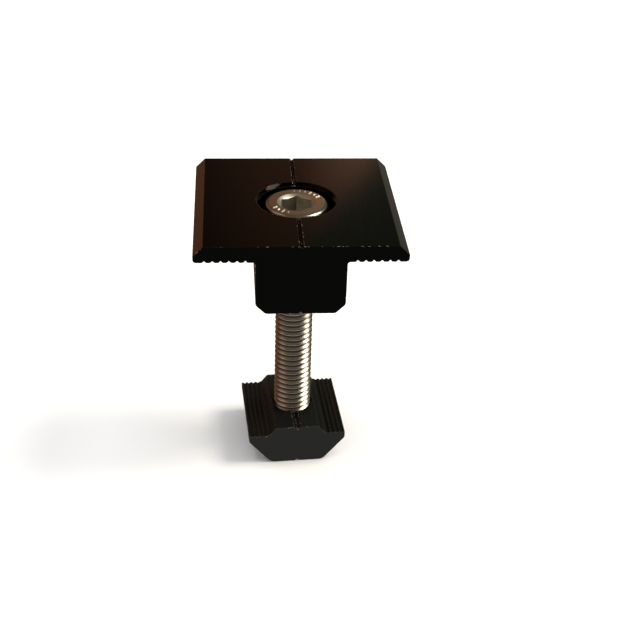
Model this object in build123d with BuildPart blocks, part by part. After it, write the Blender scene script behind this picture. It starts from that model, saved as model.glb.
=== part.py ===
"""Solar mid clamp: an extruded T-shaped clamp body, a socket cap screw and a rail nut.

The clamp presses the frames of two neighbouring solar modules onto a mounting rail.
The screw stands in a counterbore of the body and pulls the nut up inside the rail.

Frame: millimetres, +Z up along the screw, Y along the extrusion, Z = 0 at the nut's base.
"""
import os
from math import cos, radians, sin, tan

from build123d import *

os.makedirs("parts", exist_ok=True)

# ---------------------------------------------------------------- socket cap screw, M8 x 50
thread_d = 8.0
screw_length = 50.0
head_d = 13.0
head_height = 8.0
head_edge_radius = 0.9
head_foot_chamfer = 0.3
point_chamfer = 0.9
socket_flats = 6.0
socket_depth = 4.5
socket_mouth_d = 7.8
socket_mouth_angle = 30.0      # slope of the countersunk mouth
socket_drill_angle = 31.0      # slope of the drilled bottom
socket_corner_angle = 87.0     # where one corner of the hexagon points, from +X

# ---------------------------------------------------------------- spring lock washer
washer_d = 12.7
washer_thickness = 2.0
washer_bore_gap = 0.05
washer_slit_width = 0.9
washer_slit_lean = 1.2

# ---------------------------------------------------------------- clamp body, an aluminium extrusion
plate_width = 41.0
body_length = 40.0
body_height = 14.7
plate_chamfer = 1.95
wing_thickness = 3.4
wing_tip_radius = 0.7
stem_width = 17.5
stem_chamfer = 1.95
stem_edge_radius = 1.0
wing_root_radius = 0.5
grip_pitch = 1.55
grip_width = 0.8
grip_depth = 0.4
grip_start = 1.85              # first grip groove, from the stem's side
guide_groove_width = 0.9
guide_groove_depth = 0.45
clearance_hole_d = 9.0
counterbore_d = 15.0
counterbore_chamfer = 0.65
head_recess = 0.6

# ---------------------------------------------------------------- rail nut, an aluminium extrusion
nut_width = 20.9
nut_length = 20.5
nut_height = 9.1
nut_base_width = 11.3
nut_base_radius = 2.4
nut_side_height = 1.6
nut_side_radius = 0.8
shoulder_edge_radius = 0.25
boss_edge_radius = 0.5
boss_height = 1.8
boss_top_width = 9.2
boss_foot_width = 12.0
tooth_pitch = 1.0
tooth_width = 0.8
tooth_depth = 0.35
tooth_start = 0.75             # first tooth groove, from the boss's foot
nut_groove_width = 1.5
nut_groove_depth = 0.6
nut_notch_width = 1.0
nut_notch_depth = 0.5
thread_gap = 0.05
thread_entry = 0.3
nut_turn = 3.75                # the nut sits a little turned on the screw, degrees
point_above_base = 0.1         # the screw's point, above the nut's base

# ---------------------------------------------------------------- heights that follow
touch = 1e-6                   # two places nearer than this are the same place
head_seat = point_above_base + screw_length
head_top = head_seat + head_height
washer_seat = head_seat - washer_thickness
plate_top = head_top + head_recess
wing_bottom = plate_top - wing_thickness
stem_bottom = plate_top - body_height
counterbore_depth = plate_top - washer_seat
shoulder_top = nut_height - boss_height
thread_r = thread_d / 2
socket_r = socket_flats / 2


def groove_places(start, end, pitch):
    """Distances from start to no further than end, one pitch apart."""
    return [start + pitch * i for i in range(int((end - start) / pitch) + 1)]


# The body's grip grooves bite into the module frames, on the underside of both wings.
wing_reach = plate_width / 2 - wing_tip_radius
grip_places = groove_places(stem_width / 2 + grip_start, wing_reach, grip_pitch)

with BuildPart() as clamp_body:
    with BuildSketch(Plane.XZ) as body_section:
        with BuildLine():
            Polyline(
                (0, plate_top),
                (plate_width / 2 - plate_chamfer, plate_top),
                (plate_width / 2, plate_top - plate_chamfer),
                (plate_width / 2, wing_bottom),
                (stem_width / 2, wing_bottom),
                (stem_width / 2, stem_bottom + stem_chamfer),
                (stem_width / 2 - stem_chamfer, stem_bottom),
                (0, stem_bottom),
            )
            mirror(about=Plane.YZ)
        make_face()
        # Each fillet redraws the outline, so its corners are picked just before it.
        tips = body_section.vertices().filter_by(
            lambda v: abs(v.Y - wing_bottom) < touch and abs(v.X) > plate_width / 2 - touch
        )
        fillet(tips, radius=wing_tip_radius)
        stem_edges = body_section.vertices().filter_by(
            lambda v: v.Y < stem_bottom + stem_chamfer + touch and abs(v.X) > touch
        )
        fillet(stem_edges, radius=stem_edge_radius)
        roots = body_section.vertices().filter_by(
            lambda v: abs(v.Y - wing_bottom) < touch and abs(v.X) < stem_width / 2 + touch
        )
        fillet(roots, radius=wing_root_radius)
        with Locations([(side * x, wing_bottom) for side in (-1, 1) for x in grip_places]):
            Polygon(
                (-grip_width / 2, 0),
                (grip_width / 2, 0),
                (0, grip_depth),
                align=None,
                mode=Mode.SUBTRACT,
            )
        with Locations((0, plate_top)):
            Polygon(
                (-guide_groove_width / 2, 0),
                (guide_groove_width / 2, 0),
                (0, -guide_groove_depth),
                align=None,
                mode=Mode.SUBTRACT,
            )
        with Locations((0, stem_bottom)):
            Polygon(
                (-guide_groove_width / 2, 0),
                (guide_groove_width / 2, 0),
                (0, guide_groove_depth),
                align=None,
                mode=Mode.SUBTRACT,
            )
    extrude(amount=body_length / 2, both=True)
    with Locations((0, 0, plate_top)):
        CounterBoreHole(
            radius=clearance_hole_d / 2,
            counter_bore_radius=counterbore_d / 2,
            counter_bore_depth=counterbore_depth,
        )
        Cone(
            bottom_radius=counterbore_d / 2,
            top_radius=counterbore_d / 2 + counterbore_chamfer,
            height=counterbore_chamfer,
            align=(Align.CENTER, Align.CENTER, Align.MAX),
            mode=Mode.SUBTRACT,
        )
clamp_body.part.label = "clamp_body"
export_step(clamp_body.part, "parts/clamp_body.step")

# The screw is turned in one piece. Its thread is left at the full diameter.
with BuildPart() as cap_screw:
    with BuildSketch(Plane.XZ) as screw_section:
        with BuildLine():
            Polyline(
                (0, point_above_base),
                (thread_r - point_chamfer, point_above_base),
                (thread_r, point_above_base + point_chamfer),
                (thread_r, head_seat),
                (head_d / 2 - head_foot_chamfer, head_seat),
                (head_d / 2, head_seat + head_foot_chamfer),
                (head_d / 2, head_top),
                (0, head_top),
                close=True,
            )
        make_face()
        rim = screw_section.vertices().filter_by(lambda v: v.Y > head_top - touch)
        fillet(rim.sort_by(Axis.X)[-1], radius=head_edge_radius)
    revolve(axis=Axis.Z)
    with BuildSketch(Plane.XY.offset(head_top)):
        RegularPolygon(
            radius=socket_r,
            side_count=6,
            major_radius=False,
            rotation=socket_corner_angle,
        )
    extrude(amount=-socket_depth, mode=Mode.SUBTRACT)
    with Locations((0, 0, head_top - socket_depth)):
        Cone(
            bottom_radius=0,
            top_radius=socket_r,
            height=socket_r * tan(radians(socket_drill_angle)),
            align=(Align.CENTER, Align.CENTER, Align.MAX),
            mode=Mode.SUBTRACT,
        )
    with Locations((0, 0, head_top)):
        Cone(
            bottom_radius=0,
            top_radius=socket_mouth_d / 2,
            height=socket_mouth_d / 2 * tan(radians(socket_mouth_angle)),
            align=(Align.CENTER, Align.CENTER, Align.MAX),
            mode=Mode.SUBTRACT,
        )
cap_screw.part.label = "cap_screw"
export_step(cap_screw.part, "parts/cap_screw.step")

# The lock washer is coiled from square wire and pressed flat, with a slanted slit at its ends.
with BuildPart() as lock_washer:
    with BuildSketch(Plane.XY.offset(washer_seat)):
        Circle(washer_d / 2)
        Circle(thread_r + washer_bore_gap, mode=Mode.SUBTRACT)
    extrude(amount=washer_thickness)
    with BuildSketch(Plane.XZ):
        with Locations((0, washer_seat)):
            Polygon(
                (-washer_slit_width / 2 - washer_slit_lean / 2, 0),
                (washer_slit_width / 2 - washer_slit_lean / 2, 0),
                (washer_slit_width / 2 + washer_slit_lean / 2, washer_thickness),
                (-washer_slit_width / 2 + washer_slit_lean / 2, washer_thickness),
                align=None,
            )
    extrude(amount=washer_d, mode=Mode.SUBTRACT)
lock_washer.part.label = "lock_washer"
export_step(lock_washer.part, "parts/lock_washer.step")

# The nut is a short piece of its own extrusion, drilled and tapped on the screw's axis.
nut_plane = Plane(
    origin=(0, 0, 0),
    x_dir=(cos(radians(nut_turn)), sin(radians(nut_turn)), 0),
    z_dir=(sin(radians(nut_turn)), -cos(radians(nut_turn)), 0),
)
tooth_places = groove_places(boss_foot_width / 2 + tooth_start, nut_width / 2 - tooth_width / 2, tooth_pitch)

with BuildPart() as rail_nut:
    with BuildSketch(nut_plane) as nut_section:
        with BuildLine():
            Polyline(
                (0, nut_height),
                (boss_top_width / 2, nut_height),
                (boss_foot_width / 2, shoulder_top),
                (nut_width / 2, shoulder_top),
                (nut_width / 2, shoulder_top - nut_side_height),
                (nut_base_width / 2, 0),
                (0, 0),
            )
            mirror(about=Plane.YZ)
        make_face()
        base_corners = nut_section.vertices().filter_by(
            lambda v: v.Y < touch and abs(v.X) > touch
        )
        fillet(base_corners, radius=nut_base_radius)
        side_corners = nut_section.vertices().filter_by(
            lambda v: abs(v.Y - shoulder_top + nut_side_height) < touch
        )
        fillet(side_corners, radius=nut_side_radius)
        shoulder_edges = nut_section.vertices().filter_by(
            lambda v: abs(v.Y - shoulder_top) < touch and abs(v.X) > nut_width / 2 - touch
        )
        fillet(shoulder_edges, radius=shoulder_edge_radius)
        boss_feet = nut_section.vertices().filter_by(
            lambda v: abs(v.Y - shoulder_top) < touch and abs(v.X) < boss_foot_width / 2 + touch
        )
        fillet(boss_feet, radius=boss_edge_radius)
        boss_edges = nut_section.vertices().filter_by(
            lambda v: v.Y > nut_height - touch and abs(v.X) > touch
        )
        fillet(boss_edges, radius=boss_edge_radius)
        with Locations([(side * x, shoulder_top) for side in (-1, 1) for x in tooth_places]):
            Polygon(
                (-tooth_width / 2, 0),
                (tooth_width / 2, 0),
                (0, -tooth_depth),
                align=None,
                mode=Mode.SUBTRACT,
            )
        with Locations((0, nut_height)):
            Polygon(
                (-nut_groove_width / 2, 0),
                (nut_groove_width / 2, 0),
                (0, -nut_groove_depth),
                align=None,
                mode=Mode.SUBTRACT,
            )
        with Locations((0, 0)):
            Polygon(
                (-nut_notch_width / 2, 0),
                (nut_notch_width / 2, 0),
                (0, nut_notch_depth),
                align=None,
                mode=Mode.SUBTRACT,
            )
    extrude(amount=nut_length / 2, both=True)
    with Locations((0, 0, nut_height)):
        Hole(radius=thread_r + thread_gap)
        Cone(
            bottom_radius=thread_r + thread_gap,
            top_radius=thread_r + thread_gap + thread_entry,
            height=thread_entry,
            align=(Align.CENTER, Align.CENTER, Align.MAX),
            mode=Mode.SUBTRACT,
        )
    with Locations((0, 0, 0)):
        Cone(
            bottom_radius=thread_r + thread_gap + thread_entry,
            top_radius=thread_r + thread_gap,
            height=thread_entry,
            align=(Align.CENTER, Align.CENTER, Align.MIN),
            mode=Mode.SUBTRACT,
        )
rail_nut.part.label = "rail_nut"
export_step(rail_nut.part, "parts/rail_nut.step")

nut_travel = stem_bottom - nut_height
print(f"plate top {plate_top:.2f}, stem bottom {stem_bottom:.2f}, nut travel {nut_travel:.2f} mm")
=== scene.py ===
# %% [markdown]
# # A solar mid clamp
# The clamp is three kinds of metal part: a black anodised aluminium extrusion, a short nut cut from
# another extrusion, and a stainless socket cap screw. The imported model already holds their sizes, so
# this lesson only dresses them: broken edges, a real thread, finishes, a floor, lamps and a camera.

# %% Load the frame
import math

import bmesh
import bpy
from mathutils import Matrix, Vector


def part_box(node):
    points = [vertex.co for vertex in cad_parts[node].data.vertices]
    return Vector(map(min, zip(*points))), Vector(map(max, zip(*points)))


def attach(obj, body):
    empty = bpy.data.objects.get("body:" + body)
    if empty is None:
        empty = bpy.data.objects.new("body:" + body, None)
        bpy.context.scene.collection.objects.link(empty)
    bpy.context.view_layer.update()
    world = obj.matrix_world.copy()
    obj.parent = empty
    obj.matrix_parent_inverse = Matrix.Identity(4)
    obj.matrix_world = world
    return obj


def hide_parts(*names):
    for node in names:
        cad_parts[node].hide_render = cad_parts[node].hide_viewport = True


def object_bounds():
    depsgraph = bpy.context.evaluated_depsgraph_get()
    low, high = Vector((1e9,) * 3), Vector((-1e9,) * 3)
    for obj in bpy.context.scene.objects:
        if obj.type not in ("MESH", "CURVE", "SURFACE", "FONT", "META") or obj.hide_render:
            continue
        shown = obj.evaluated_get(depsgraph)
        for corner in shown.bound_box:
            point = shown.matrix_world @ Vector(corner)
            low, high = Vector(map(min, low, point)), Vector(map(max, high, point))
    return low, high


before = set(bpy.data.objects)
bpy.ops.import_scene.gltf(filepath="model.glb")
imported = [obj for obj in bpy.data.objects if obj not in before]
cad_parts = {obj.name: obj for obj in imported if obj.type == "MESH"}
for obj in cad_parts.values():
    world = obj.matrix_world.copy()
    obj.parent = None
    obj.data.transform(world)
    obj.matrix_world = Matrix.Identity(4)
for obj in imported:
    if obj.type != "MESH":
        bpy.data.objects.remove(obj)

MM = 0.001
cad_low, cad_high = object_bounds()
print("nodes:", sorted(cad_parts))
print("size in mm:", [round(v / MM, 2) for v in cad_high - cad_low])

# %% [markdown]
# ## Colours
# A colour is written as the hex value that a colour picker shows, and shaders work in linear light.
# One function turns the first into the second, so that every colour in the file is treated alike.

# %% Colour function
def colour(hex_value):
    """An sRGB hex value such as #c8c8c8 as the linear RGBA that a shader socket takes."""
    shown = [int(hex_value[i:i + 2], 16) / 255 for i in (1, 3, 5)]
    linear = [c / 12.92 if c <= 0.04045 else ((c + 0.055) / 1.055) ** 2.4 for c in shown]
    return (*linear, 1.0)


# %% [markdown]
# ## Shader nodes
# Every material is a small tree of nodes. One function adds a node, sets its fields and joins its
# inputs, which keeps each material short enough to read from top to bottom.

# %% Node function
def add_node(tree, kind, inputs=None, **settings):
    """Adds a node. An input given as another node's output is linked, and a plain value is set."""
    node = tree.nodes.new(kind)
    for field, value in settings.items():
        setattr(node, field, value)
    for name, value in (inputs or {}).items():
        if isinstance(value, bpy.types.NodeSocket):
            tree.links.new(value, node.inputs[name])
        else:
            node.inputs[name].default_value = value
    return node


def new_material(name):
    """A material with an empty tree, and its output node."""
    material = bpy.data.materials.new(name)
    material.use_nodes = True
    material.node_tree.nodes.clear()
    return material, material.node_tree, add_node(material.node_tree, "ShaderNodeOutputMaterial")


# %% [markdown]
# ## Black anodised aluminium
# Aluminium is pushed through a die, so its long faces carry fine lines along the bar. The bar is then
# sawn, which leaves shallow cross marks on the ends, and dyed black in an oxide layer a few hundredths
# of a millimetre thick. To the eye the long faces are a deep black with a soft, slightly warm gloss,
# and the sawn ends are flatter. The die lines are really about 0.05 mm apart: they are drawn 0.2 mm
# apart here, because finer ones would not show. The shader's metal value says how much of the light the
# metal under the oxide mirrors. The dye scatters the rest, and it does more of that on the greyer nut.

# %% Anodised aluminium
DIE_LINE_GAP = 0.2 * MM
DIE_LINE_LENGTH = 25 * MM
SAW_MARK_GAP = 0.35 * MM
SAW_MARK_LENGTH = 6 * MM
SAW_MARK_SLANT = math.radians(12)
MARK_DEPTH = 0.012 * MM        # how deep the die lines and the saw marks look
DYE_CLOUD = 14 * MM            # size of the patches where the dye is a little warmer
SAWN_FACE = 0.9                # a face turned this far towards the bar's ends is a sawn one


def anodised_aluminium(name, face_hex, warm_hex, sawn_hex, gloss, sawn_gloss, metal):
    """Dyed anodised aluminium, drawn along Y and sawn square to it."""
    material, tree, output = new_material(name)
    where = add_node(tree, "ShaderNodeTexCoord")
    die_map = add_node(tree, "ShaderNodeMapping", {
        "Vector": where.outputs["Object"],
        "Scale": (1 / DIE_LINE_GAP, 1 / DIE_LINE_LENGTH, 1 / DIE_LINE_GAP),
    })
    die_lines = add_node(tree, "ShaderNodeTexNoise", {"Vector": die_map.outputs["Vector"], "Scale": 1.0})
    saw_map = add_node(tree, "ShaderNodeMapping", {
        "Vector": where.outputs["Object"],
        "Rotation": (0, SAW_MARK_SLANT, 0),
        "Scale": (1 / SAW_MARK_LENGTH, 1 / SAW_MARK_LENGTH, 1 / SAW_MARK_GAP),
    })
    saw_marks = add_node(tree, "ShaderNodeTexNoise", {"Vector": saw_map.outputs["Vector"], "Scale": 1.0})
    cloud = add_node(tree, "ShaderNodeTexNoise", {"Vector": where.outputs["Object"], "Scale": 1 / DYE_CLOUD})
    facing = add_node(tree, "ShaderNodeSeparateXYZ", {"Vector": where.outputs["Normal"]})
    end_on = add_node(tree, "ShaderNodeMath", {0: facing.outputs["Y"]}, operation="ABSOLUTE")
    sawn = add_node(tree, "ShaderNodeMath", {0: end_on.outputs[0], 1: SAWN_FACE}, operation="GREATER_THAN")
    face_colour = add_node(tree, "ShaderNodeMixRGB", {
        "Fac": cloud.outputs["Fac"], "Color1": colour(face_hex), "Color2": colour(warm_hex),
    })
    base_colour = add_node(tree, "ShaderNodeMixRGB", {
        "Fac": sawn.outputs[0], "Color1": face_colour.outputs["Color"], "Color2": colour(sawn_hex),
    })
    drawn_gloss = add_node(tree, "ShaderNodeMapRange", {
        "Value": die_lines.outputs["Fac"], "To Min": gloss - 0.03, "To Max": gloss + 0.05,
    })
    end_gloss = add_node(tree, "ShaderNodeMapRange", {
        "Value": saw_marks.outputs["Fac"], "To Min": sawn_gloss - 0.08, "To Max": sawn_gloss + 0.08,
    })
    roughness = add_node(tree, "ShaderNodeMix", {
        0: sawn.outputs[0], 2: drawn_gloss.outputs["Result"], 3: end_gloss.outputs["Result"],
    })
    height = add_node(tree, "ShaderNodeMix", {
        0: sawn.outputs[0], 2: die_lines.outputs["Fac"], 3: saw_marks.outputs["Fac"],
    })
    bump = add_node(tree, "ShaderNodeBump", {
        "Height": height.outputs[0], "Strength": 0.25, "Distance": MARK_DEPTH,
    })
    shader = add_node(tree, "ShaderNodeBsdfPrincipled", {
        "Base Color": base_colour.outputs["Color"],
        "Metallic": metal,
        "Specular IOR Level": 0.3,
        "Roughness": roughness.outputs[0],
        "Normal": bump.outputs["Normal"],
    })
    tree.links.new(shader.outputs["BSDF"], output.inputs["Surface"])
    return material


body_finish = anodised_aluminium("black_anodised_body", "#100f0e", "#15110e", "#090908", 0.08, 0.36, 1.0)
nut_finish = anodised_aluminium("black_anodised_nut", "#181b1a", "#1a1c18", "#141511", 0.26, 0.55, 0.4)

# %% [markdown]
# ## Worn edges with a painted highlight
# Anodising is a thin, hard skin, and it chips first where a saw has left a sharp edge. Flecks of bare
# aluminium about a third of a millimetre long show on the broken edges, and nowhere else. The skin on the
# broken edges is painted lighter than on the faces, as a painted highlight along them, and lighter still on
# the nut, against the plate's shade. Extra flecks beside the groove that guides the drill are a painted
# highlight along the groove's edges. A noise cut off at a threshold places the flecks, which is simpler than
# drawing each one.

# %% Worn edges with a painted highlight
FLECK_SPACING = 0.7 * MM
BARE_FROM = 0.66               # where the noise and the wear add up to this, the skin starts to go
BARE_TO = 0.72
END_WEAR = 0.05
WORN_END = 1.1 * MM            # how far the wear of a sawn end reaches along the bar
FULL_WEAR_END = 0.3 * MM       # and how much of that is worn the most
GROOVE_SIDE = 1.3 * MM         # the groove's edges lie within this of the middle
GROOVE_FADE = 0.4 * MM
BODY_HALF_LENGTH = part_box("clamp_body")[1].y
NUT_HALF_LENGTH = 10.2 * MM    # the nut is turned a little, so its box is longer than the nut


def wear_and_highlight_edge(name, skin_with_highlight_hex, bare_hex, half_length, groove, elsewhere):
    """Anodised edge, painted lighter than the faces as a painted highlight, with flecks of bare metal: at
    the sawn ends, beside the groove as a painted highlight along its edges, and elsewhere.
    """
    material, tree, output = new_material(name)
    where = add_node(tree, "ShaderNodeTexCoord")
    chips = add_node(tree, "ShaderNodeTexNoise", {
        "Vector": where.outputs["Object"], "Scale": 1 / FLECK_SPACING, "Detail": 3.0,
    })
    along = add_node(tree, "ShaderNodeSeparateXYZ", {"Vector": where.outputs["Object"]})
    off_middle = add_node(tree, "ShaderNodeMath", {0: along.outputs["Y"]}, operation="ABSOLUTE")
    wear = add_node(tree, "ShaderNodeMapRange", {
        "Value": off_middle.outputs[0],
        "From Min": half_length - WORN_END, "From Max": half_length - FULL_WEAR_END,
        "To Min": elsewhere, "To Max": END_WEAR,
    })
    sideways = add_node(tree, "ShaderNodeMath", {0: along.outputs["X"]}, operation="ABSOLUTE")
    groove_highlight_flecks = add_node(tree, "ShaderNodeMapRange", {
        "Value": sideways.outputs[0], "From Min": GROOVE_SIDE, "From Max": GROOVE_SIDE + GROOVE_FADE,
        "To Min": groove, "To Max": elsewhere,
    })
    fleck_boost = add_node(tree, "ShaderNodeMath", {
        0: wear.outputs["Result"], 1: groove_highlight_flecks.outputs["Result"],
    }, operation="MAXIMUM")
    # Flecks beside the groove are a painted highlight along its edges; those at the sawn ends are wear.
    worn = add_node(tree, "ShaderNodeMath", {
        0: chips.outputs["Fac"], 1: fleck_boost.outputs[0],
    }, operation="ADD")
    bare = add_node(tree, "ShaderNodeMapRange", {
        "Value": worn.outputs[0], "From Min": BARE_FROM, "From Max": BARE_TO,
    })
    # The skin colour is painted lighter than the faces: a painted highlight along the broken edges.
    base_colour = add_node(tree, "ShaderNodeMixRGB", {
        "Fac": bare.outputs["Result"], "Color1": colour(skin_with_highlight_hex), "Color2": colour(bare_hex),
    })
    roughness = add_node(tree, "ShaderNodeMapRange", {
        "Value": bare.outputs["Result"], "To Min": 0.30, "To Max": 0.45,
    })
    shader = add_node(tree, "ShaderNodeBsdfPrincipled", {
        "Base Color": base_colour.outputs["Color"],
        "Metallic": 1.0,
        "Roughness": roughness.outputs["Result"],
    })
    tree.links.new(shader.outputs["BSDF"], output.inputs["Surface"])
    return material


# Both edge skins are painted lighter than their faces as a painted highlight, the nut's more, against the
# plate's shade.
body_edge = wear_and_highlight_edge("wear_and_highlight_edge_body", "#322c27", "#c9c2b6", BODY_HALF_LENGTH, 0.09, -0.01)
nut_edge = wear_and_highlight_edge("wear_and_highlight_edge_nut", "#4a4b45", "#c9c2b6", NUT_HALF_LENGTH, 0.16, -0.2)

# %% [markdown]
# ## Stainless steel
# The screw is cold-formed: its head is stamped and its thread is rolled, not cut. The steel stays
# bright, faintly warm, and its polish varies a little from place to place. A grain of about 0.3 mm in
# the roughness gives the eye that unevenness.

# %% Stainless steel
def stainless_steel(name, hex_value, gloss, grain):
    """Bright formed stainless steel."""
    material, tree, output = new_material(name)
    where = add_node(tree, "ShaderNodeTexCoord")
    polish = add_node(tree, "ShaderNodeTexNoise", {"Vector": where.outputs["Object"], "Scale": 1 / grain})
    roughness = add_node(tree, "ShaderNodeMapRange", {
        "Value": polish.outputs["Fac"], "To Min": gloss - 0.03, "To Max": gloss + 0.04,
    })
    bump = add_node(tree, "ShaderNodeBump", {
        "Height": polish.outputs["Fac"], "Strength": 0.08, "Distance": 0.004 * MM,
    })
    shader = add_node(tree, "ShaderNodeBsdfPrincipled", {
        "Base Color": colour(hex_value),
        "Metallic": 1.0,
        "Roughness": roughness.outputs["Result"],
        "Normal": bump.outputs["Normal"],
    })
    tree.links.new(shader.outputs["BSDF"], output.inputs["Surface"])
    return material


head_finish = stainless_steel("stainless_formed_head", "#b0a79c", 0.20, 0.3 * MM)
socket_finish = stainless_steel("stainless_broached_socket", "#b4b0a2", 0.42, 0.2 * MM)
# The marks' steel is painted much lighter than the head's: a painted highlight as well as rubbing.
mark_finish = stainless_steel("stainless_marks_rubbed_and_painted_bright", "#efe6d8", 0.45, 0.3 * MM)
washer_finish = stainless_steel("stainless_spring_washer", "#b9b2a8", 0.35, 0.3 * MM)

# %% [markdown]
# ## Rolled thread
# Rolling squeezes the thread up between two dies and burnishes its crests smooth. The roots are painted
# dark, as painted shade between the teeth, and are a little rougher than the crests. The distance from the
# screw's axis tells the shader which is which, because the thread lies round the Z axis.

# %% Rolled thread
THREAD_RADIUS = 4.0 * MM
PITCH = 1.25 * MM
THREAD_DEPTH = 0.6134 * PITCH

rolled_finish, rolled_tree, rolled_output = new_material("stainless_rolled_thread")
rolled_where = add_node(rolled_tree, "ShaderNodeTexCoord")
flat_place = add_node(rolled_tree, "ShaderNodeVectorMath", {
    0: rolled_where.outputs["Object"], 1: (1, 1, 0),
}, operation="MULTIPLY")
from_axis = add_node(rolled_tree, "ShaderNodeVectorMath", {0: flat_place.outputs[0]}, operation="LENGTH")
out_of_root_shade = add_node(rolled_tree, "ShaderNodeMapRange", {
    "Value": from_axis.outputs["Value"],
    "From Min": THREAD_RADIUS - THREAD_DEPTH,
    "From Max": THREAD_RADIUS - 0.1 * THREAD_DEPTH,
})
# Dark roots are painted shade between the teeth; the crests keep the steel's own colour.
rolled_colour = add_node(rolled_tree, "ShaderNodeMixRGB", {
    "Fac": out_of_root_shade.outputs["Result"], "Color1": colour("#4a423a"), "Color2": colour("#b3aa9d"),
})
rolled_gloss = add_node(rolled_tree, "ShaderNodeMapRange", {
    "Value": out_of_root_shade.outputs["Result"], "To Min": 0.38, "To Max": 0.22,
})
rolled_shader = add_node(rolled_tree, "ShaderNodeBsdfPrincipled", {
    "Base Color": rolled_colour.outputs["Color"],
    "Metallic": 1.0,
    "Roughness": rolled_gloss.outputs["Result"],
})
rolled_tree.links.new(rolled_shader.outputs["BSDF"], rolled_output.inputs["Surface"])

# %% [markdown]
# ## Broken edges
# A sawn bar is deburred, so no edge is perfectly sharp, and it is this narrow edge that catches the
# light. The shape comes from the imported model. Its copy is merged, its flat faces are joined, and the
# sharp edges are bevelled by about a tenth of a millimetre.

# %% Edge function
SHARP = math.radians(28)


def copy_of_node(name):
    """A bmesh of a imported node's shape, merged, with its flat faces joined."""
    shape = bmesh.new()
    shape.from_mesh(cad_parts[name].data)
    bmesh.ops.remove_doubles(shape, verts=shape.verts, dist=0.0005 * MM)
    bmesh.ops.dissolve_limit(
        shape, angle_limit=math.radians(0.5), use_dissolve_boundaries=False,
        verts=shape.verts, edges=shape.edges, delimit=set(),
    )
    return shape


def finish_piece(shape, name, body, node, materials):
    """Makes the object, smooths it between its sharp edges and lets it stand for its node.

    Weighted normals keep the wide faces flat, so that only the narrow bevels beside them turn.
    """
    mesh = bpy.data.meshes.new(name)
    shape.to_mesh(mesh)
    shape.free()
    mesh.shade_smooth()
    mesh.set_sharp_from_angle(angle=SHARP)
    piece = bpy.data.objects.new(name, mesh)
    bpy.context.scene.collection.objects.link(piece)
    flatten = piece.modifiers.new("flat faces stay flat", "WEIGHTED_NORMAL")
    flatten.weight = 100
    flatten.keep_sharp = True
    for material in materials:
        mesh.materials.append(material)
    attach(piece, body)
    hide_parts(node)
    print(name, "has", len(mesh.polygons), "faces")
    return piece


def break_edges(shape, width, slot=-1):
    """Bevels the sharp edges of a shape. The slot is the bevels' material, or -1 for the neighbours'."""
    sharp = [e for e in shape.edges if len(e.link_faces) == 2 and e.calc_face_angle() > SHARP]
    bmesh.ops.bevel(
        shape, geom=sharp, offset=width, offset_type="OFFSET", segments=2, profile=0.5,
        affect="EDGES", material=slot, clamp_overlap=True,
    )


# %% [markdown]
# ## Clamp body and nut
# Both bars are finished in the same way, and their broken edges take the worn finish with its painted
# highlight. The washer keeps the imported shape and only gets its finish.

# %% Body and nut
EDGE_BREAK = 0.10 * MM
EDGE_WEAR_AND_HIGHLIGHT_SLOT = 1                  # the broken edges take the second of a bar's two finishes

body_shape = copy_of_node("clamp_body")
break_edges(body_shape, EDGE_BREAK, EDGE_WEAR_AND_HIGHLIGHT_SLOT)
body_finishes = [body_finish, body_edge]
finish_piece(body_shape, "clamp_body_dressed", "clamp", "clamp_body", body_finishes)

nut_shape = copy_of_node("rail_nut")
break_edges(nut_shape, EDGE_BREAK, EDGE_WEAR_AND_HIGHLIGHT_SLOT)
nut_finishes = [nut_finish, nut_edge]
finish_piece(nut_shape, "rail_nut_dressed", "nut", "rail_nut", nut_finishes)

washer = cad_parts["lock_washer"]
washer.data.materials.clear()
washer.data.materials.append(washer_finish)

# %% [markdown]
# ## The thread
# A metric thread is a 60 degree groove that climbs one pitch for each turn. A zigzag line with the
# groove's profile is spun once round the axis while it rises by one pitch. Its end then meets its own
# start one tooth higher, and the two are merged. Cutting both ends flat leaves a true right-hand thread.

# %% Thread sizes
screw_low, screw_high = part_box("cap_screw")
HEAD_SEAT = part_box("lock_washer")[1].z
POINT_CHAMFER = 0.9 * MM
NECK = 0.4 * MM                # plain length under the head
TURN_STEPS = 72

# Height along one pitch, and depth below the crest, of the points of one tooth.
TOOTH = (
    (0.000, 0.10),
    (0.030, 0.02),
    (0.065, 0.00),
    (0.100, 0.02),
    (0.130, 0.10),
    (0.460, 0.93),
    (0.500, 1.00),
    (0.600, 1.00),
    (0.640, 0.93),
)

# %% Thread
def threaded_rod(bottom, top):
    """A right-hand threaded rod along Z with a chamfered point, as a closed bmesh."""
    rod = bmesh.new()
    start = bottom - 2 * PITCH
    teeth = math.ceil((top - bottom) / PITCH) + 4
    line = []
    for tooth in range(teeth):
        for height, depth in TOOTH:
            radius = THREAD_RADIUS - depth * THREAD_DEPTH
            line.append(rod.verts.new((radius, 0, start + (tooth + height) * PITCH)))
    edges = [rod.edges.new(pair) for pair in zip(line, line[1:])]
    bmesh.ops.spin(
        rod, geom=line + edges, cent=(0, 0, 0), axis=(0, 0, 1), dvec=(0, 0, PITCH / TURN_STEPS),
        angle=2 * math.pi, steps=TURN_STEPS, use_duplicate=False, use_merge=False,
    )
    bmesh.ops.remove_doubles(rod, verts=rod.verts, dist=0.002 * MM)
    for height, outside in ((bottom, False), (top, True)):
        everything = rod.verts[:] + rod.edges[:] + rod.faces[:]
        bmesh.ops.bisect_plane(
            rod, geom=everything, plane_co=(0, 0, height), plane_no=(0, 0, 1),
            clear_inner=not outside, clear_outer=outside,
        )
    for vertex in rod.verts:
        room = THREAD_RADIUS - POINT_CHAMFER + (vertex.co.z - bottom)
        radius = vertex.co.xy.length
        if radius > room:
            vertex.co.x *= room / radius
            vertex.co.y *= room / radius
    bmesh.ops.holes_fill(rod, edges=[e for e in rod.edges if e.is_boundary], sides=0)
    bmesh.ops.recalc_face_normals(rod, faces=rod.faces)
    return rod
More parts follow.
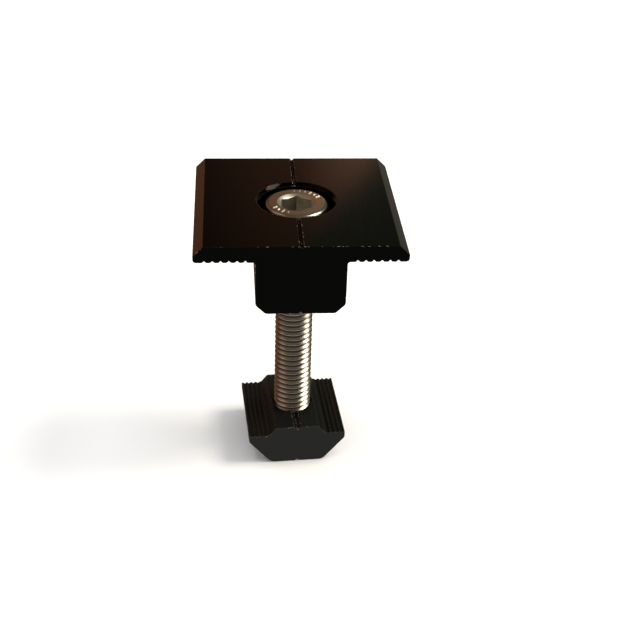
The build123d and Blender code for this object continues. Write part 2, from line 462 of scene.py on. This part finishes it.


# %% [markdown]
# ## The head
# The head keeps the imported shape: a rounded rim, a hexagon socket with a countersunk mouth and a drilled
# bottom. Such heads carry raised marks on their top face. Here those are plain short bars in two arcs, which
# say nothing. They stand proud of the face, where handling rubs them, and their steel is painted much
# lighter than the head's, as a painted highlight.

# %% Head and marks
HEAD_TOP = screw_high.z
SOCKET_RADIUS = 3.95 * MM      # the socket's mouth, walls and bottom lie inside this
SKIN = 0.02 * MM               # anything deeper than this is below the head's top face
MARK_RADIUS = 4.95 * MM
MARK_HEIGHT = 0.16 * MM
MARK_LENGTH = 1.0 * MM
MARK_WIDTH = 0.3 * MM
MARK_BEVEL = 0.09 * MM
SHORT_MARK = 0.55              # every second mark has this share of the full length
HEAD_EDGE_BREAK = 0.06 * MM
HEAD_SLOT, SOCKET_SLOT, THREAD_SLOT, MARK_SLOT = range(4)
MARK_STEP = 13                 # degrees from one mark to the next
MARK_ARCS = ((60, 6), (228, 4))  # middle of each arc in degrees, and its number of marks


def add_marks(head):
    """Raised bars, every second one short, in two arcs round the socket."""
    for middle, count in MARK_ARCS:
        for i in range(count):
            angle = math.radians(middle + (i - (count - 1) / 2) * MARK_STEP)
            length = MARK_LENGTH if i % 2 == 0 else MARK_LENGTH * SHORT_MARK
            place = (
                Matrix.Rotation(angle, 4, "Z")
                @ Matrix.Translation((MARK_RADIUS, 0, HEAD_TOP))
                @ Matrix.Diagonal((length, MARK_WIDTH, 2 * MARK_HEIGHT, 1))
            )
            bar = bmesh.ops.create_cube(head, size=1.0, matrix=place)["verts"]
            for face in {f for v in bar for f in v.link_faces}:
                face.material_index = MARK_SLOT
            edges = {e for v in bar for e in v.link_edges if min(p.co.z for p in e.verts) > HEAD_TOP}
            bmesh.ops.bevel(
                head, geom=list(edges), offset=MARK_BEVEL, offset_type="OFFSET", segments=2,
                profile=0.5, affect="EDGES", material=-1, clamp_overlap=True,
            )


screw_shape = copy_of_node("cap_screw")
below_head = screw_shape.verts[:] + screw_shape.edges[:] + screw_shape.faces[:]
bmesh.ops.bisect_plane(
    screw_shape, geom=below_head, plane_co=(0, 0, HEAD_SEAT - NECK), plane_no=(0, 0, 1), clear_inner=True,
)
bmesh.ops.holes_fill(screw_shape, edges=[e for e in screw_shape.edges if e.is_boundary], sides=0)
break_edges(screw_shape, HEAD_EDGE_BREAK)
for face in screw_shape.faces:
    reach = max(v.co.xy.length for v in face.verts)
    depth = HEAD_TOP - face.calc_center_median().z
    inside = reach < SOCKET_RADIUS and SKIN < depth < HEAD_TOP - HEAD_SEAT
    face.material_index = SOCKET_SLOT if inside else HEAD_SLOT
add_marks(screw_shape)
rod = threaded_rod(screw_low.z, HEAD_SEAT - NECK / 2)
for face in rod.faces:
    face.material_index = THREAD_SLOT
rod_mesh = bpy.data.meshes.new("thread")
rod.to_mesh(rod_mesh)
rod.free()
screw_shape.from_mesh(rod_mesh)
bpy.data.meshes.remove(rod_mesh)
screw_finishes = [head_finish, socket_finish, rolled_finish, mark_finish]
finish_piece(screw_shape, "cap_screw_dressed", "screw", "cap_screw", screw_finishes)

# %% [markdown]
# ## Floor
# The clamp stands on a wide, plain, pale floor.
# Mirrors don't see it: the polished metal shows the room below instead, which keeps its edges dark.

# %% Floor
FLOOR_SIZE = 4.0
FLOOR_GAP = 0.02 * MM          # the floor lies this far below the nut, so the two never share a plane

floor_shape = bmesh.new()
bmesh.ops.create_grid(
    floor_shape, x_segments=1, y_segments=1, size=FLOOR_SIZE / 2,
    matrix=Matrix.Translation((0, 0, -FLOOR_GAP)),
)
floor_mesh = bpy.data.meshes.new("floor")
floor_shape.to_mesh(floor_mesh)
floor_shape.free()
floor = bpy.data.objects.new("floor", floor_mesh)
bpy.context.scene.collection.objects.link(floor)
floor_paint, floor_tree, floor_output = new_material("pale_matt_paper")
floor_shader = add_node(floor_tree, "ShaderNodeBsdfPrincipled", {
    "Base Color": colour("#f6f6f6"), "Roughness": 0.9, "Specular IOR Level": 0.1,
})
floor_tree.links.new(floor_shader.outputs["BSDF"], floor_output.inputs["Surface"])
floor_mesh.materials.append(floor_paint)
floor.visible_glossy = False

# %% [markdown]
# ## Light
# Polished black metal shows whatever it mirrors, so what mirrors see matters more than the lamps. They
# see a room: white and low in front, like a paper backdrop, and dim behind and above. The room's colour
# changes from left to right, from grey through brown, with a bright patch just right of the middle. A
# cooler wall cuts across it along a slanted line. Everything that isn't a mirror is lit by a plain
# white sky, which keeps the floor and the shadow free of colour.

# %% Sky
BACKDROP_TOP = 0.12            # sine of the height where the white backdrop starts to fade
DIM_FROM = 0.31                # sine of the height where the sky is fully dim
WHITE_UNTIL = -0.2             # place from front to back, -1 to 1, where the backdrop starts to fade
DIM_BEHIND = 0.5               # and where the room is fully dim
COOL_WALL = "#5c6356"          # the wall beyond the slanted line
WALL_EDGE = (0.52, 0.545)      # sideways place plus sine of the height, across the slanted line's blur
RIGHT_WALL = "#6c685d"
ROOM = (                       # sideways place, -1 on the left to 1 on the right, and the colour there
    (-1.00, "#3a3733"), (-0.70, "#4a423c"), (-0.50, "#9c6748"), (-0.20, "#6a4a38"), (-0.05, "#3c2f28"),
    (0.04, "#866049"), (0.06, "#8a6049"), (0.11, "#f4ba97"), (0.30, "#b08468"), (0.40, RIGHT_WALL),
    (1.00, RIGHT_WALL),
)
DAYLIGHT = 0.55                # how strongly a plain white sky lights everything that isn't a mirror
BEYOND_FLOOR = "#f9f9f8"       # what the camera sees past the floor's far edge

world = bpy.data.worlds.new("studio")
bpy.context.scene.world = world
world.use_nodes = True
sky_tree = world.node_tree
sky_tree.nodes.clear()
direction = add_node(sky_tree, "ShaderNodeTexCoord")
towards = add_node(sky_tree, "ShaderNodeSeparateXYZ", {"Vector": direction.outputs["Generated"]})
sideways = add_node(sky_tree, "ShaderNodeMapRange", {"Value": towards.outputs["X"], "From Min": -1.0})
room = add_node(sky_tree, "ShaderNodeValToRGB", {"Fac": sideways.outputs["Result"]})
stops = room.color_ramp.elements
while len(stops) < len(ROOM):
    stops.new(0.5)
for stop, (place, hex_value) in zip(stops, ROOM):
    stop.position = (place + 1) / 2
    stop.color = colour(hex_value)
slant = add_node(sky_tree, "ShaderNodeMath", {
    0: towards.outputs["X"], 1: towards.outputs["Z"],
}, operation="ADD")
cool_side = add_node(sky_tree, "ShaderNodeMapRange", {
    "Value": slant.outputs[0], "From Min": WALL_EDGE[0], "From Max": WALL_EDGE[1],
}, interpolation_type="SMOOTHSTEP")
dim_sky = add_node(sky_tree, "ShaderNodeMixRGB", {
    "Fac": cool_side.outputs["Result"], "Color1": room.outputs["Color"], "Color2": colour(COOL_WALL),
})
height = add_node(sky_tree, "ShaderNodeMapRange", {
    "Value": towards.outputs["Z"], "From Min": BACKDROP_TOP, "From Max": DIM_FROM,
}, interpolation_type="SMOOTHSTEP")
behind = add_node(sky_tree, "ShaderNodeMapRange", {
    "Value": towards.outputs["Y"], "From Min": WHITE_UNTIL, "From Max": DIM_BEHIND,
}, interpolation_type="SMOOTHSTEP")
dimmed = add_node(sky_tree, "ShaderNodeMath", {
    0: height.outputs["Result"], 1: behind.outputs["Result"],
}, operation="MAXIMUM")
mirrored = add_node(sky_tree, "ShaderNodeMixRGB", {
    "Fac": dimmed.outputs[0], "Color1": colour("#ffffff"), "Color2": dim_sky.outputs["Color"],
})
ray = add_node(sky_tree, "ShaderNodeLightPath")
plain = add_node(sky_tree, "ShaderNodeMixRGB", {
    "Fac": ray.outputs["Is Camera Ray"], "Color1": (DAYLIGHT, DAYLIGHT, DAYLIGHT, 1),
    "Color2": colour(BEYOND_FLOOR),
})
sky_colour = add_node(sky_tree, "ShaderNodeMixRGB", {
    "Fac": ray.outputs["Is Glossy Ray"], "Color1": plain.outputs["Color"],
    "Color2": mirrored.outputs["Color"],
})
sky = add_node(sky_tree, "ShaderNodeBackground", {"Color": sky_colour.outputs["Color"], "Strength": 1.0})
add_node(sky_tree, "ShaderNodeOutputWorld", {"Surface": sky.outputs["Background"]})

# %% [markdown]
# A strong lamp stands high on the right: it lights the right side of the thread and the rims that turn
# towards it. A weak, warm one stands on the left. One overhead keeps the floor pale, and mirrors don't
# see it. Nothing stands in front, which leaves the middle of the screw darker.

# %% Lamps
def soft_lamp(name, azimuth, elevation, distance, size, watts, hex_value):
    """A square lamp that faces the clamp. Azimuth 0 is in front, and positive is to the right."""
    lamp = bpy.data.lights.new(name, "AREA")
    lamp.shape = "SQUARE"
    lamp.size = size
    lamp.energy = watts
    lamp.color = colour(hex_value)[:3]
    around = math.radians(azimuth)
    up = math.radians(elevation)
    outwards = Vector((math.sin(around) * math.cos(up), -math.cos(around) * math.cos(up), math.sin(up)))
    holder = bpy.data.objects.new(name, lamp)
    holder.location = (cad_low + cad_high) / 2 + outwards * distance
    holder.rotation_euler = outwards.to_track_quat("Z", "Y").to_euler()
    bpy.context.scene.collection.objects.link(holder)
    return holder


soft_lamp("lamp_right", 93, 48, 1.4, 0.65, 17, "#fff8ea")
soft_lamp("lamp_left", -100, 50, 1.5, 0.9, 1.0, "#ffdccb")
lamp_top = soft_lamp("lamp_top", 0, 89, 1.5, 1.1, 11, "#ffffff")
lamp_top.visible_glossy = False

# %% [markdown]
# ## Camera
# The view is from in front and above, close enough for some perspective, with a little roll.

# %% Camera
CAMERA_PLACE = (-13.51 * MM, -211.93 * MM, 162.75 * MM)
CAMERA_YAW = 5.16              # degrees to the right of straight ahead
CAMERA_PITCH = 31.96           # degrees down
CAMERA_ROLL = 2.075
CAMERA_LENS = 65.8             # on a 36 mm sensor

camera_data = bpy.data.cameras.new("camera")
camera_data.lens = CAMERA_LENS
camera_data.sensor_width = 36
camera_data.clip_start = 0.01
camera = bpy.data.objects.new("camera", camera_data)
turn = (
    Matrix.Rotation(math.radians(-CAMERA_YAW), 3, "Z")
    @ Matrix.Rotation(math.radians(90 - CAMERA_PITCH), 3, "X")
    @ Matrix.Rotation(math.radians(CAMERA_ROLL), 3, "Z")
)
camera.matrix_world = Matrix.Translation(CAMERA_PLACE) @ turn.to_4x4()
bpy.context.scene.collection.objects.link(camera)
bpy.context.scene.camera = camera
bpy.context.scene.view_settings.view_transform = "Standard"
